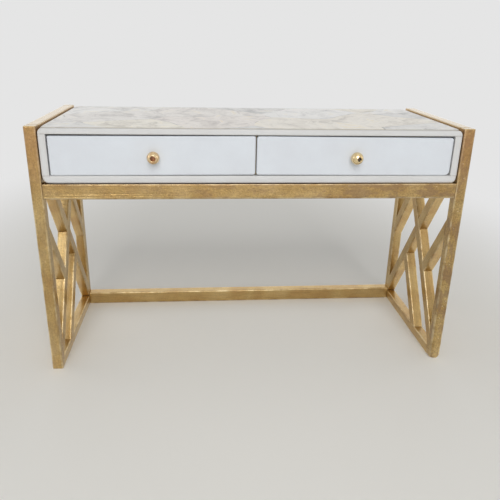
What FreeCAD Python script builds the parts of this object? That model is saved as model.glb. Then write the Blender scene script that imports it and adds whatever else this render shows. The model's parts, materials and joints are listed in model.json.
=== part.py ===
import FreeCAD, Part
import os

import Sketcher

# A doll's-house dressing table at 1:12. Two gold fretwork side frames carry a white case with
# two drawers. Millimetres, +Z up, the front faces -Y. The origin is on the floor, under the
# middle of the object's whole box, which takes in the knobs.

dimensions = [
    # gold side frames
    ("frame_width", 106.4, "over the outer faces of the two side frames"),
    ("frame_depth", 42.0, "front to back of a side frame"),
    ("frame_height", 64.0, "floor to the top of a side frame"),
    ("strip", 2.7, "side of the square strip that the frames are made of"),
    ("strip_ease", 0.2, "rounding of the strips' long edges"),
    # fretwork: the full braces run corner to corner, the short ones start from them
    ("brace_slope", 1.46, "rise of every brace for each millimetre of depth"),
    ("rear_offset", 20.9, "rear brace above the long brace, measured upright"),
    ("upper_offset", 20.9, "upper brace above the cross brace"),
    ("left_front_offset", 22.0, "left front brace below the long brace"),
    ("right_front_offset", 20.9, "right front brace below the long brace"),
    ("left_lower_offset", 17.2, "left lower brace below the cross brace"),
    ("right_lower_offset", 20.6, "right lower brace below the cross brace"),
    # bars between the side frames
    ("rail_height", 3.8, "height of the rails under the case and of the stretcher"),
    ("rail_depth", 2.7, "front to back of the rails under the case"),
    ("stretcher_depth", 3.0, "front to back of the stretcher on the floor"),
    ("rail_top", 50.5, "height that the case stands at"),
    # white case
    ("case_gap", 0.15, "gap between the case and a side frame"),
    ("case_recess", 0.5, "case front behind the legs' front faces"),
    ("case_inset", 0.3, "case back in front of the legs' rear faces"),
    ("top_level", 63.45, "top of the top panel"),
    ("top_thickness", 1.35, "thickness of the top panel"),
    ("bottom_thickness", 1.9, "thickness of the bottom panel"),
    ("side_thickness", 1.7, "thickness of a side panel"),
    ("back_thickness", 1.2, "thickness of the back panel"),
    ("divider_thickness", 1.6, "thickness of the divider between the drawers"),
    ("top_round", 1.1, "rounding of the top panel's upper ends"),
    ("bottom_round", 1.3, "rounding of the bottom panel's lower ends"),
    ("panel_ease", 0.25, "rounding of the panels' front edges"),
    ("veneer_thickness", 0.2, "thickness of the marbled sheet"),
    ("veneer_margin", 0.6, "white border left around the sheet"),
    # drawers
    ("side_clearance", 0.3, "drawer to side panel, and drawer box to divider"),
    ("half_clearance", 0.2, "drawer front to the middle of the case"),
    ("under_clearance", 0.2, "drawer to bottom panel"),
    ("over_clearance", 0.25, "drawer front to top panel"),
    ("end_clearance", 0.8, "drawer to back panel"),
    ("front_thickness", 1.6, "thickness of a drawer front"),
    ("front_round", 0.9, "rounding of a drawer front's corners"),
    ("front_ease", 0.3, "rounding of a drawer front's face edges"),
    ("board", 1.2, "thickness of a drawer's sides and back"),
    ("side_drop", 1.1, "drawer side below the top of the front"),
    ("base_thickness", 0.8, "thickness of a drawer's bottom"),
    ("base_lift", 0.4, "drawer bottom above the sides' lower edges"),
    # knobs
    ("bead_radius", 1.5, "radius of the knob bead"),
    ("bore_radius", 0.62, "radius of the hole through the bead"),
    ("pin_sink", 0.45, "pin's end behind the bead's mouth"),
    ("knob_level", 0.25, "bead's middle below the middle of the drawer front"),
]

doc = FreeCAD.newDocument("dressing_table")
sheet = doc.addObject("Spreadsheet::Sheet", "sizes")
for row, (alias, value, note) in enumerate(dimensions, start=1):
    sheet.set(f"A{row}", alias)
    sheet.set(f"B{row}", str(value))
    sheet.set(f"C{row}", note)
    sheet.setAlias(f"B{row}", alias)
doc.recompute()

pieces = []


# ---- expressions that more than one piece uses -------------------------------------------

half_width = "sizes.frame_width / 2"
inner_face = "(sizes.frame_width / 2 - sizes.strip)"
bead_half = "sqrt(sizes.bead_radius ^ 2 - sizes.bore_radius ^ 2)"
frame_centre = f"({bead_half} - sizes.case_recess / 2)"
frame_front = f"({frame_centre} - sizes.frame_depth / 2)"
frame_rear = f"({frame_centre} + sizes.frame_depth / 2)"

case_face = f"({frame_front} + sizes.case_recess)"
case_end = f"({frame_rear} - sizes.case_inset)"
case_side = f"({inner_face} - sizes.case_gap)"
case_floor = "(sizes.rail_top + sizes.bottom_thickness)"
case_ceiling = "(sizes.top_level - sizes.top_thickness)"
back_face = f"({case_end} - sizes.back_thickness)"
divider_start = f"({case_face} + sizes.front_thickness + sizes.side_clearance)"

front_outer = f"({case_side} - sizes.side_thickness - sizes.side_clearance)"
box_inner = "(sizes.divider_thickness / 2 + sizes.side_clearance)"
drawer_low = f"({case_floor} + sizes.under_clearance)"
drawer_high = f"({case_ceiling} - sizes.over_clearance)"
box_start = f"({case_face} + sizes.front_thickness)"
box_end = f"({back_face} - sizes.end_clearance)"
side_height = f"({drawer_high} - sizes.side_drop - {drawer_low})"
knob_across = f"(({front_outer} + sizes.half_clearance) / 2)"
knob_height = f"(({drawer_low} + {drawer_high}) / 2 - sizes.knob_level)"


def outward(side, near, far):
    """Start and length of a span that runs from near to far, away from the middle."""
    start = near if side == "right" else f"-({far})"
    return start, f"({far}) - ({near})"


# ---- small building steps ----------------------------------------------------------------

def new_body(name, x, y, z):
    """A named body whose origin stands at the given expressions."""
    body = doc.addObject("PartDesign::Body", name)
    body.Label = name
    for axis, expression in zip("xyz", (x, y, z)):
        body.setExpression(f"Placement.Base.{axis}", expression)
    pieces.append(body)
    return body


def new_sketch(body, role, lift="0"):
    """A sketch on one of the body's own origin planes, lifted along the plane's normal."""
    plane = next(f for f in body.Origin.OriginFeatures if f.Role == role)
    sketch = body.newObject("Sketcher::SketchObject", f"{body.Name}_{role[:2]}")
    sketch.AttachmentSupport = [(plane, "")]
    sketch.MapMode = "FlatFace"
    sketch.setExpression("AttachmentOffset.Base.z", lift)
    return sketch


def draw_outline(sketch, corners):
    """A closed outline whose corners are pairs of expressions, each one a dimension."""
    points = []
    for across, up in corners:
        place = [float(sheet.evalExpression(e)) for e in (across, up)]
        points.append(FreeCAD.Vector(place[0], place[1], 0))
    count = len(points)
    for i in range(count):
        sketch.addGeometry(Part.LineSegment(points[i], points[(i + 1) % count]), False)
    for i in range(count):
        sketch.addConstraint(Sketcher.Constraint("Coincident", i, 2, (i + 1) % count, 1))
    for i, corner in enumerate(corners):
        for kind, value, expression in zip("XY", (points[i].x, points[i].y), corner):
            limit = Sketcher.Constraint(f"Distance{kind}", -1, 1, i, 1, value)
            index = sketch.addConstraint(limit)
            sketch.setExpression(f"Constraints[{index}]", expression)


def pad_outline(body, role, corners, thickness, reverse=False):
    """Pads an outline drawn on an origin plane."""
    sketch = new_sketch(body, role)
    draw_outline(sketch, corners)
    pad = body.newObject("PartDesign::Pad", f"{body.Name}_pad")
    pad.Profile = sketch
    pad.Reversed = reverse
    pad.setExpression("Length", thickness)
    sketch.Visibility = False
    doc.recompute()
    return pad


def round_edges(body, feature, chosen, radius, name):
    """Rounds the edges of a feature for which chosen(edge) is true."""
    names = [f"Edge{i}" for i, edge in enumerate(feature.Shape.Edges, start=1) if chosen(edge)]
    fillet = body.newObject("PartDesign::Fillet", f"{body.Name}_{name}")
    fillet.Base = (feature, names)
    fillet.setExpression("Radius", radius)
    doc.recompute()
    return fillet


def runs_along(edge, axis):
    """True for a straight edge parallel to the axis."""
    direction = edge.tangentAt(edge.FirstParameter)
    straight = edge.Curve.TypeId == "Part::GeomLine"
    return straight and abs(direction.dot(axis)) > 0.999


def block(name, x, y, z, across, deep, tall):
    """A rectangular board as a body: its low corner, then its size."""
    body = new_body(name, x, y, z)
    box = body.newObject("PartDesign::AdditiveBox", f"{name}_board")
    box.setExpression("Length", across)
    box.setExpression("Width", deep)
    box.setExpression("Height", tall)
    doc.recompute()
    return body, box


def strip_piece(name, x, y, z, across, deep, tall, axis):
    """A length of strip with its long edges eased."""
    body, box = block(name, x, y, z, across, deep, tall)
    round_edges(body, box, lambda e: runs_along(e, axis), "sizes.strip_ease", "ease")


along_x = FreeCAD.Vector(1, 0, 0)
along_y = FreeCAD.Vector(0, 1, 0)
along_z = FreeCAD.Vector(0, 0, 1)


# ---- side frames -------------------------------------------------------------------------
# In a side frame's own plane the depth is measured from the frame's middle. A brace is a band
# between two parallel edges, falling or climbing towards the rear. The long brace's edges run
# through the front top and rear bottom inner corners, which settles the width of every brace.

inner_half = "(sizes.frame_depth / 2 - sizes.strip)"
inner_low = "sizes.strip"
inner_high = "(sizes.frame_height - sizes.strip)"
mid_height = "sizes.frame_height / 2"
half_cut = f"(({inner_high} - {inner_low}) / 2 - {inner_half} * sizes.brace_slope)"

falling, climbing = "-1", "1"
upper_edge, lower_edge = "1", "-1"


def edge_height(trend, offset, edge, depth):
    """Height of a brace's edge at a given depth."""
    middle = f"{mid_height} + ({offset}) + ({trend}) * sizes.brace_slope * ({depth})"
    return f"({middle} + ({edge}) * {half_cut})"


def at_leg(trend, offset, edge, leg):
    """Corner where a brace's edge meets a leg: leg is -1 for the front one, 1 for the rear."""
    depth = f"({leg}) * {inner_half}"
    return depth, edge_height(trend, offset, edge, depth)


def at_rail(trend, offset, edge, height):
    """Corner where a brace's edge meets the top or the bottom rail."""
    rise = f"({height} - {mid_height} - ({offset}) - ({edge}) * {half_cut})"
    return f"{rise} / (({trend}) * sizes.brace_slope)", height


def at_brace(trend, offset, edge, other_edge):
    """Corner where a brace's edge meets an edge of the full brace that crosses its way."""
    gap = f"((({other_edge}) - ({edge})) * {half_cut} - ({offset}))"
    depth = f"({gap} / (2 * ({trend}) * sizes.brace_slope))"
    return depth, edge_height(trend, offset, edge, depth)


def brace(name, side, corners):
    """A brace as thick as the strip, in the plane of its side frame."""
    x = f"-{half_width}" if side == "left" else inner_face
    body = new_body(name, x, frame_centre, "0")
    return body, pad_outline(body, "YZ_Plane", corners, "sizes.strip")


def halve(body, pad, lift):
    """Cuts half the thickness away where the two full braces cross, for a halving joint."""
    reach = f"({half_cut} / sizes.brace_slope)"
    lozenge = [
        ("0", f"({mid_height} + {half_cut})"),
        (f"-{reach}", mid_height),
        ("0", f"({mid_height} - {half_cut})"),
        (reach, mid_height),
    ]
    before = pad.Shape.Volume
    sketch = new_sketch(body, "YZ_Plane", lift)
    draw_outline(sketch, lozenge)
    lap = body.newObject("PartDesign::Pocket", f"{body.Name}_lap")
    lap.Profile = sketch
    lap.setExpression("Length", "sizes.strip / 2")
    sketch.Visibility = False
    doc.recompute()
    assert lap.Shape.Volume < before - 1.0, f"{body.Name}: the halving cut removed nothing"


def full_brace(side, name, trend, lap_at_outer_face):
    """A brace from corner to corner of the frame, halved where it crosses the other one."""
    corners = [
        at_leg(trend, "0", upper_edge, "-1"),
        at_leg(trend, "0", lower_edge, "-1"),
        at_leg(trend, "0", lower_edge, "1"),
        at_leg(trend, "0", upper_edge, "1"),
    ]
    body, pad = brace(f"{side}_{name}", side, corners)
    high_half = lap_at_outer_face == (side == "right")
    halve(body, pad, "sizes.strip" if high_half else "sizes.strip / 2")


def leg_brace(side, name, offset, leg):
    """A short brace from a leg to the cross brace, parallel to the long brace."""
    facing = upper_edge if leg == "-1" else lower_edge
    corners = [
        at_leg(falling, offset, upper_edge, leg),
        at_brace(falling, offset, upper_edge, facing),
        at_brace(falling, offset, lower_edge, facing),
        at_leg(falling, offset, lower_edge, leg),
    ]
    brace(f"{side}_{name}", side, corners)


def rail_brace(side, name, offset, height):
    """A short brace from a rail to the long brace, parallel to the cross brace."""
    facing = upper_edge if height == inner_high else lower_edge
    corners = [
        at_rail(climbing, offset, upper_edge, height),
        at_brace(climbing, offset, upper_edge, facing),
        at_brace(climbing, offset, lower_edge, facing),
        at_rail(climbing, offset, lower_edge, height),
    ]
    brace(f"{side}_{name}", side, corners)


def side_frame(side):
    """Two legs, two rails between them, and six braces that fill the opening."""
    x = outward(side, inner_face, half_width)[0]
    rear_leg_face = f"({frame_rear} - sizes.strip)"
    between = f"({frame_front} + sizes.strip)"
    square = "sizes.strip"
    for name, y in (("front_leg", frame_front), ("rear_leg", rear_leg_face)):
        strip_piece(f"{side}_{name}", x, y, "0", square, square, "sizes.frame_height", along_z)
    for name, z in (("bottom_rail", "0"), ("top_rail", inner_high)):
        strip_piece(f"{side}_{name}", x, between, z, square, f"2 * {inner_half}", square, along_y)
    full_brace(side, "long_brace", falling, False)
    full_brace(side, "cross_brace", climbing, True)
    leg_brace(side, "rear_brace", "sizes.rear_offset", "1")
    leg_brace(side, "front_brace", f"-sizes.{side}_front_offset", "-1")
    rail_brace(side, "upper_brace", "sizes.upper_offset", inner_high)
    rail_brace(side, "lower_brace", f"-sizes.{side}_lower_offset", inner_low)


# ---- bars between the side frames --------------------------------------------------------

def cross_bar(name, y, z, deep):
    """A bar butted between the inner faces of the two side frames."""
    span = f"2 * {inner_face}"
    strip_piece(name, f"-{inner_face}", y, z, span, deep, "sizes.rail_height", along_x)


def cross_bars():
    """Two rails that carry the case, and a stretcher on the floor at the rear."""
    rail_low = "sizes.rail_top - sizes.rail_height"
    cross_bar("front_rail", frame_front, rail_low, "sizes.rail_depth")
    cross_bar("rear_rail", f"({frame_rear} - sizes.rail_depth)", rail_low, "sizes.rail_depth")
    stretcher_face = f"({frame_rear} - sizes.stretcher_depth)"
    cross_bar("rear_stretcher", stretcher_face, "0", "sizes.stretcher_depth")


# ---- case --------------------------------------------------------------------------------

def end_panel(name, z, thickness, outer_z, rounding):
    """The top or bottom panel: its outer ends rounded from front to back, its front eased."""
    body, box = block(name, f"-{case_side}", case_face, z,
                      f"2 * {case_side}", f"{case_end} - {case_face}", thickness)
    level = float(sheet.evalExpression(outer_z))

    def outer_end(edge):
        return runs_along(edge, along_y) and abs(edge.CenterOfMass.z - level) < 0.01

    rounded = round_edges(body, box, outer_end, rounding, "round")
    face = rounded.Shape.BoundBox.YMin

    def front_line(edge):
        return runs_along(edge, along_x) and abs(edge.CenterOfMass.y - face) < 0.01

    round_edges(body, rounded, front_line, "sizes.panel_ease", "ease")


def case():
    """Side and back panels and a divider, between a top and a bottom panel, and the sheet."""
    wall = f"{case_ceiling} - {case_floor}"
    depth = f"{case_end} - {case_face}"
    end_panel("top_panel", case_ceiling, "sizes.top_thickness",
              "sizes.top_thickness", "sizes.top_round")
    end_panel("bottom_panel", "sizes.rail_top", "sizes.bottom_thickness",
              "0", "sizes.bottom_round")
    inside = f"({case_side} - sizes.side_thickness)"
    for side in ("left", "right"):
        x, across = outward(side, inside, case_side)
        block(f"{side}_side_panel", x, case_face, case_floor, across, depth, wall)
    block("back_panel", f"-{inside}", back_face, case_floor,
          f"2 * {inside}", "sizes.back_thickness", wall)
    block("centre_divider", "-sizes.divider_thickness / 2", divider_start, case_floor,
          "sizes.divider_thickness", f"{back_face} - {divider_start}", wall)
    block("top_veneer", f"-({case_side} - sizes.veneer_margin)",
          f"({case_face} + sizes.veneer_margin)", "sizes.top_level",
          f"2 * ({case_side} - sizes.veneer_margin)",
          f"{depth} - 2 * sizes.veneer_margin", "sizes.veneer_thickness")


# ---- drawers -----------------------------------------------------------------------------

def drawer_front(side):
    """The front: rounded corners, eased face edges and a hole for the knob's pin."""
    x, across = outward(side, "sizes.half_clearance", front_outer)
    tall = f"({drawer_high} - {drawer_low})"
    body = new_body(f"{side}_drawer_front", x, case_face, drawer_low)
    corners = [("0", "0"), (across, "0"), (across, tall), ("0", tall)]
    pad = pad_outline(body, "XZ_Plane", corners, "sizes.front_thickness", reverse=True)
    rounded = round_edges(body, pad, lambda e: runs_along(e, along_y), "sizes.front_round", "round")

    def face_edge(edge):
        return abs(edge.BoundBox.YMin) < 0.001 and abs(edge.BoundBox.YMax) < 0.001

    eased = round_edges(body, rounded, face_edge, "sizes.front_ease", "ease")
    before = eased.Shape.Volume
    sketch = new_sketch(body, "XZ_Plane")
    hole = Part.Circle(FreeCAD.Vector(1, 1, 0), along_z, 0.5)
    sketch.addGeometry(hole, False)
    places = [
        (Sketcher.Constraint("DistanceX", -1, 1, 0, 3, 1.0), f"({across}) / 2"),
        (Sketcher.Constraint("DistanceY", -1, 1, 0, 3, 1.0), f"{knob_height} - {drawer_low}"),
        (Sketcher.Constraint("Radius", 0, 0.5), "sizes.bore_radius"),
    ]
    for limit, expression in places:
        index = sketch.addConstraint(limit)
        sketch.setExpression(f"Constraints[{index}]", expression)
    bore = body.newObject("PartDesign::Pocket", f"{body.Name}_bore")
    bore.Profile = sketch
    bore.setExpression("Length", "sizes.front_thickness")
    sketch.Visibility = False
    doc.recompute()
    assert bore.Shape.Volume < before - 1.0, f"{body.Name}: the pin hole removed nothing"


def drawer_box(side):
    """Two sides, a back between them and a bottom let in between all four walls."""
    inner_wall = f"({box_inner} + sizes.board)"
    outer_wall = f"({front_outer} - sizes.board)"
    other = {"left": "right", "right": "left"}[side]
    depth = f"{box_end} - {box_start}"
    for wall, near, far in ((other, box_inner, inner_wall), (side, outer_wall, front_outer)):
        x, across = outward(side, near, far)
        block(f"{side}_drawer_{wall}_side", x, box_start, drawer_low, across, depth, side_height)
    x, across = outward(side, inner_wall, outer_wall)
    back = f"({box_end} - sizes.board)"
    block(f"{side}_drawer_back", x, back, drawer_low, across, "sizes.board", side_height)
    block(f"{side}_drawer_bottom", x, box_start, f"{drawer_low} + sizes.base_lift",
          across, f"{back} - {box_start}", "sizes.base_thickness")


def knob(side):
    """A round bead with a hole from front to back, held by a pin through the drawer front."""
    x = knob_across if side == "right" else f"-{knob_across}"
    body = new_body(f"{side}_drawer_knob", x, f"{case_face} - {bead_half}", knob_height)
    radius = float(sheet.evalExpression("sizes.bead_radius"))
    bore = float(sheet.evalExpression("sizes.bore_radius"))
    half = float(sheet.evalExpression(bead_half))
    sketch = new_sketch(body, "XY_Plane")
    low = FreeCAD.Vector(bore, -half, 0)
    high = FreeCAD.Vector(bore, half, 0)
    sketch.addGeometry(Part.Arc(low, FreeCAD.Vector(radius, 0, 0), high), False)
    sketch.addGeometry(Part.LineSegment(high, low), False)
    joins = [(0, 2, 1, 1), (1, 2, 0, 1), (0, 3, -1, 1)]
    for join in joins:
        sketch.addConstraint(Sketcher.Constraint("Coincident", *join))
    sketch.addConstraint(Sketcher.Constraint("Vertical", 1))
    places = [
        (Sketcher.Constraint("Radius", 0, radius), "sizes.bead_radius"),
        (Sketcher.Constraint("DistanceX", -1, 1, 1, 1, bore), "sizes.bore_radius"),
    ]
    for limit, expression in places:
        index = sketch.addConstraint(limit)
        sketch.setExpression(f"Constraints[{index}]", expression)
    turned = body.newObject("PartDesign::Revolution", f"{body.Name}_turned")
    turned.Profile = sketch
    turned.ReferenceAxis = (sketch, ["V_Axis"])
    turned.Angle = 360
    sketch.Visibility = False
    doc.recompute()

    start = f"({case_face} - 2 * {bead_half} + sizes.pin_sink)"
    pin = new_body(f"{side}_drawer_knob_pin", x, start, knob_height)
    pin.Placement.Rotation = FreeCAD.Rotation(along_x, -90)
    shank = pin.newObject("PartDesign::AdditiveCylinder", f"{pin.Name}_shank")
    shank.setExpression("Radius", "sizes.bore_radius")
    shank.setExpression("Height", f"{box_start} - {start}")
    doc.recompute()


def drawer(side):
    """One drawer with its knob."""
    drawer_front(side)
    drawer_box(side)
    knob(side)


# ---- the whole object --------------------------------------------------------------------

for side in ("left", "right"):
    side_frame(side)
cross_bars()
case()
for side in ("left", "right"):
    drawer(side)
doc.recompute()

for thing in doc.Objects:
    troubles = [state for state in thing.State if state in ("Invalid", "Error")]
    assert not troubles, f"{thing.Label}: {troubles}"

os.makedirs("parts", exist_ok=True)
for body in pieces:
    shape = body.Shape
    assert not shape.isNull() and shape.isValid(), f"{body.Label}: bad shape"
    assert len(shape.Solids) == 1, f"{body.Label}: {len(shape.Solids)} solids"
    shape.exportStep(f"parts/{body.Label}.step")
print(f"{len(pieces)} pieces written")
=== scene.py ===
import json
import math

import bmesh
import bpy
from mathutils import Matrix, Vector


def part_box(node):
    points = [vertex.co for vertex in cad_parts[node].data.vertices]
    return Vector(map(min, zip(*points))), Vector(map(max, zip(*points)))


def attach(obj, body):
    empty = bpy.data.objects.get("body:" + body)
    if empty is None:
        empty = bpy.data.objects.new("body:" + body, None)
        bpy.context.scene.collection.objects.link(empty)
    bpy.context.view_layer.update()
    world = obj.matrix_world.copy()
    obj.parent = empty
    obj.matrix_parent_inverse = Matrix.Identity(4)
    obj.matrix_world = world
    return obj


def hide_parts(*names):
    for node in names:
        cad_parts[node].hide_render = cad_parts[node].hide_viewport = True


# Looks for a doll's-house dressing table at 1:12: gold fretwork side frames, a white case
# with two drawers, a marbled top and bead knobs. Metres, in the model's own frame.

mm = 0.001

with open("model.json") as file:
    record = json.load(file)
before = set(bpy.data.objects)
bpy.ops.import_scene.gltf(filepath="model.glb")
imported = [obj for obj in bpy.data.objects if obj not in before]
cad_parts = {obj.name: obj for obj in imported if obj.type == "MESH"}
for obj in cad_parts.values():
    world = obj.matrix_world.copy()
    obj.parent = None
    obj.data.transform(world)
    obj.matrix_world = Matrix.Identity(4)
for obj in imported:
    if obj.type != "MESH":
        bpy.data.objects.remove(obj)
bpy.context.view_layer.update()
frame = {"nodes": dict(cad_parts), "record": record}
cadNodes = frame["nodes"]
bodyOf = {}
for bodyName, members in frame["record"]["behaviour"]["bodies"].items():
    bodyOf.update({member: bodyName for member in members})


# colours and nodes

def linearColour(hexText):
    channels = [int(hexText[i:i + 2], 16) / 255 for i in (1, 3, 5)]
    linear = [c / 12.92 if c <= 0.04045 else ((c + 0.055) / 1.055) ** 2.4 for c in channels]
    return (*linear, 1.0)


def addNode(tree, kind, inputs=(), out=0, stops=(), **settings):
    # inputs: values or output sockets, in order or by socket name or number
    # stops: a ramp's (place, hex or grey); gives back one output, or all where out is None
    node = tree.nodes.new(kind)
    for key, value in settings.items():
        setattr(node, key, value)
    if stops:
        elements = node.color_ramp.elements
        while len(elements) < len(stops):
            elements.new(0.5)
        for element, (place, shade) in zip(elements, stops):
            element.position = place
            element.color = linearColour(shade) if isinstance(shade, str) else (shade, shade, shade, 1)
    for key, value in inputs.items() if isinstance(inputs, dict) else enumerate(inputs):
        if isinstance(value, bpy.types.NodeSocket):
            tree.links.new(value, node.inputs[key])
        else:
            node.inputs[key].default_value = value
    return node.outputs if out is None else node.outputs[out]


def startMaterial(name, look):
    # gives back the material, its tree and its values by name: so far where they lie and the patterns
    material = bpy.data.materials.new(name)
    material.use_nodes = True
    tree = material.node_tree
    tree.nodes.clear()
    at = {}
    for part, (drawn, size, detail, roughness, distortion) in look["patterns"].items():
        if drawn and "grain" not in at:
            at["grain"] = addNode(tree, "ShaderNodeAttribute", out="Vector", attribute_name="grainWay")
        if not drawn and "place" not in at:
            at["place"] = addNode(tree, "ShaderNodeTexCoord", out="Object")
        if drawn:
            way = addNode(tree, "ShaderNodeVectorMath", (at["grain"], (drawn, 1.0, 1.0)), operation="MULTIPLY")
        else:
            way = at["place"]
        at[part] = addNode(tree, "ShaderNodeTexNoise", {
            "Vector": way, "Scale": 1 / size, "Detail": detail,
            "Roughness": roughness, "Distortion": distortion,
        })
    return material, tree, at


def closeMaterial(tree, look, at, colour, **linked):
    # the look's colours are laid over the first one by their shares, its bumps over one another
    for share, shade in look["layers"].items():
        colour = addNode(tree, "ShaderNodeMix", {0: at[share], 6: colour, 7: linearColour(shade)}, 2,
                         data_type="RGBA")
    normal = at.get("normal")
    for part, (distance, strength) in look["bumps"].items():
        inputs = {"Height": at[part], "Distance": distance, "Strength": strength}
        if normal:
            inputs["Normal"] = normal
        normal = addNode(tree, "ShaderNodeBump", inputs)
    shader = addNode(tree, "ShaderNodeBsdfPrincipled", {
        "Base Color": colour, "Roughness": at["gloss"], "Normal": normal, **look["shader"], **linked,
    })
    addNode(tree, "ShaderNodeOutputMaterial", (shader,), None)


# materials
# patterns: how far each is drawn out along the grain (1 over it), size, detail, roughness, distortion
# ranges: what each one reads, from where to where, and what those turn to
# layers: a colour by the value that says how much of it shows; bumps: height and strength

goldPaintLook = {
    "bodyColours": ((0.34, "#ba965c"), (0.50, "#c3a367"), (0.66, "#ccae75")),
    "flakeSize": 0.15 * mm,    # real flakes are a tenth of this, too fine to show
    "lumpSpacing": 1.7 * mm,
    "bristleShare": 0.6, "stippleShare": 0.75,
    "jointTop": 50.76 * mm, "jointWidth": 50.4 * mm,    # where the painted shade in the joint between case and front rail lies
    "patterns": {
        "cloud": (None, 7 * mm, 2.0, 0.5, 0.0),
        "bristle": (0.07, 0.34 * mm, 3.0, 0.6, 0.0),    # brush marks run the length of each strip
        "stipple": (None, 0.5 * mm, 2.0, 0.6, 0.0),    # the sponge left it dabbed
        "gather": (0.4, 2.0 * mm, 6.0, 0.7, 0.0),
        "breaks": (None, 3.5 * mm, 4.0, 0.6, 0.0),
    },
    "ranges": {
        "smooth": ("depth", -17.6 * mm, -17.1 * mm, 0.0, 1.0),    # behind the front bars it is laid smooth
        "flakeTone": ("shine", 0.0, 0.6, 0.68, 1.0),
        "flakeShare": ("smooth", 0.0, 1.0, 0.8, 0.55),
        "bristleTone": ("bristle", 0.32, 0.58, 0.74, 1.0),
        "heavy": ("across", -30 * mm, 50 * mm, 0.40, 1.0),    # dabbed most of all toward the right
        "rough": ("smooth", 0.0, 1.0, 1.0, 0.12),
        "stippleTone": ("stipple", 0.36, 0.60, 0.66, 1.06),
        "bare": ("gather", 0.51, 0.45, 0.0, 0.6),    # bare places between dabs
        "lumpAndGlint": ("lumpGap", 0.08 / 1.7, 0.16 / 1.7, 0.7, 0.0),    # blobs, coloured pale as a painted highlight where they catch the light: their size over their spacing
        "wearAndHighlight": ("edge", 0.0, 0.13 * mm, 1.0, 0.0),    # corners are painted paler here and there: partly rubbed wear, partly a painted highlight
        "wearAndHighlightBreaks": ("breaks", 0.40, 0.60, 0.05, 0.40),
        "darkBesideEdges": ("breaks", 0.56, 0.40, 0.0, 0.16),    # and here and there they are darker beside the edges
        "nearEdge": ("edge", 0.45 * mm, 0.08 * mm, 0.0, 1.0),
        # painted shade on the front rail's top, in the gap under the case's bottom edge
        "jointShade": ("height", 50.36 * mm, 50.46 * mm, 0.0, 1.0),
        "dying": ("across", 12 * mm, 46 * mm, 0.92, 0.15),    # the joint's painted shade dies out to the right
        "thin": ("height", 46 * mm, 58 * mm, 0.0, 0.8),    # the upper ends are thinly painted, redder
        "top": ("height", 63.70 * mm, 63.93 * mm, 0.0, 0.8),    # the frames' tops are painted pale: a painted sheen
        # and made less metallic there, part of the same painted sheen
        "metal": ("top", 0.0, 0.8, 0.95, 0.35),
        "gloss": ("shine", 0.0, 1.0, 0.46, 0.30),
        "tilt": ("smooth", 0.0, 1.0, 0.26, 0.18),    # how far a flake may slant
    },
    "layers": {
        # here the joint's colour is painted shade, the top's a painted sheen, and the pale of rubbed corners
        # and lumps partly painted highlight
        "bare": "#8d7256", "lumpAndGlint": "#f0e2be", "darkBesideEdges": "#654a35", "wearAndHighlight": "#f0e2be",
        "jointShade": "#3a2c1e", "thin": "#b27f50", "top": "#b8a274",
    },
    "bumps": {"bristle": (0.045 * mm, 0.5), "dabs": (0.10 * mm, 0.6), "lumpAndGlint": (0.06 * mm, 0.7)},
    "shader": {"Specular Tint": linearColour("#f2e6cc"), "Coat Weight": 0.6, "Coat Roughness": 0.16},
}


def metallicAcrylic(name, look):
    # craft acrylic with mica flakes, brushed on wood: satin, finely sparkling, pale where edges catch light
    material, tree, at = startMaterial(name, look)
    at["edge"] = addNode(tree, "ShaderNodeAttribute", out="Fac", attribute_name="edgeGap")
    parts = addNode(tree, "ShaderNodeSeparateXYZ", (at["place"],), None)
    at.update(zip(("across", "depth", "height"), parts))
    inputs = {"Vector": at["place"], "Scale": 1 / look["flakeSize"]}
    flake = addNode(tree, "ShaderNodeTexVoronoi", inputs, "Color")
    at["shine"] = addNode(tree, "ShaderNodeSeparateColor", (flake,))
    inputs["Scale"] = 1 / look["lumpSpacing"]
    at["lumpGap"] = addNode(tree, "ShaderNodeTexVoronoi", inputs, "Distance")
    for part, (source, *limits) in look["ranges"].items():
        at[part] = addNode(tree, "ShaderNodeMapRange", (at[source], *limits))
    at["below"] = addNode(tree, "ShaderNodeMath", (at["height"], look["jointTop"]), operation="LESS_THAN")
    wide = addNode(tree, "ShaderNodeMath", (at["across"],), operation="ABSOLUTE")
    at["within"] = addNode(tree, "ShaderNodeMath", (wide, look["jointWidth"]), operation="LESS_THAN")
    at["dabs"] = at["stipple"]
    for part, *factors in (
        ("heavy", "rough"), ("dabs", "heavy"), ("bare", "heavy"), ("lumpAndGlint", "heavy"),
        ("wearAndHighlight", "wearAndHighlightBreaks"), ("darkBesideEdges", "nearEdge"), ("jointShade", "below", "within", "dying"),
        ("thin", "cloud"),
    ):
        for factor in factors:
            at[part] = addNode(tree, "ShaderNodeMath", (at[part], at[factor]), operation="MULTIPLY")
    stippled = addNode(tree, "ShaderNodeMath", (at["heavy"], look["stippleShare"]), operation="MULTIPLY")
    colour = addNode(tree, "ShaderNodeValToRGB", (at["cloud"],), stops=look["bodyColours"])
    for share, tone in (
        (at["flakeShare"], "flakeTone"), (look["bristleShare"], "bristleTone"), (stippled, "stippleTone"),
    ):
        colour = addNode(tree, "ShaderNodeMix", {0: share, 6: colour, 7: at[tone]}, 2,
                         data_type="RGBA", blend_type="MULTIPLY")
    # each flake lies at its own slant
    slant = addNode(tree, "ShaderNodeVectorMath", (flake, (0.5, 0.5, 0.5)), operation="SUBTRACT")
    slant = addNode(tree, "ShaderNodeVectorMath", {0: slant, "Scale": at["tilt"]}, operation="SCALE")
    facing = addNode(tree, "ShaderNodeNewGeometry", out="Normal")
    facing = addNode(tree, "ShaderNodeVectorMath", (facing, slant), operation="ADD")
    at["normal"] = addNode(tree, "ShaderNodeVectorMath", (facing,), operation="NORMALIZE")
    closeMaterial(tree, look, at, colour, Metallic=at["metal"])
    return material


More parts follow.
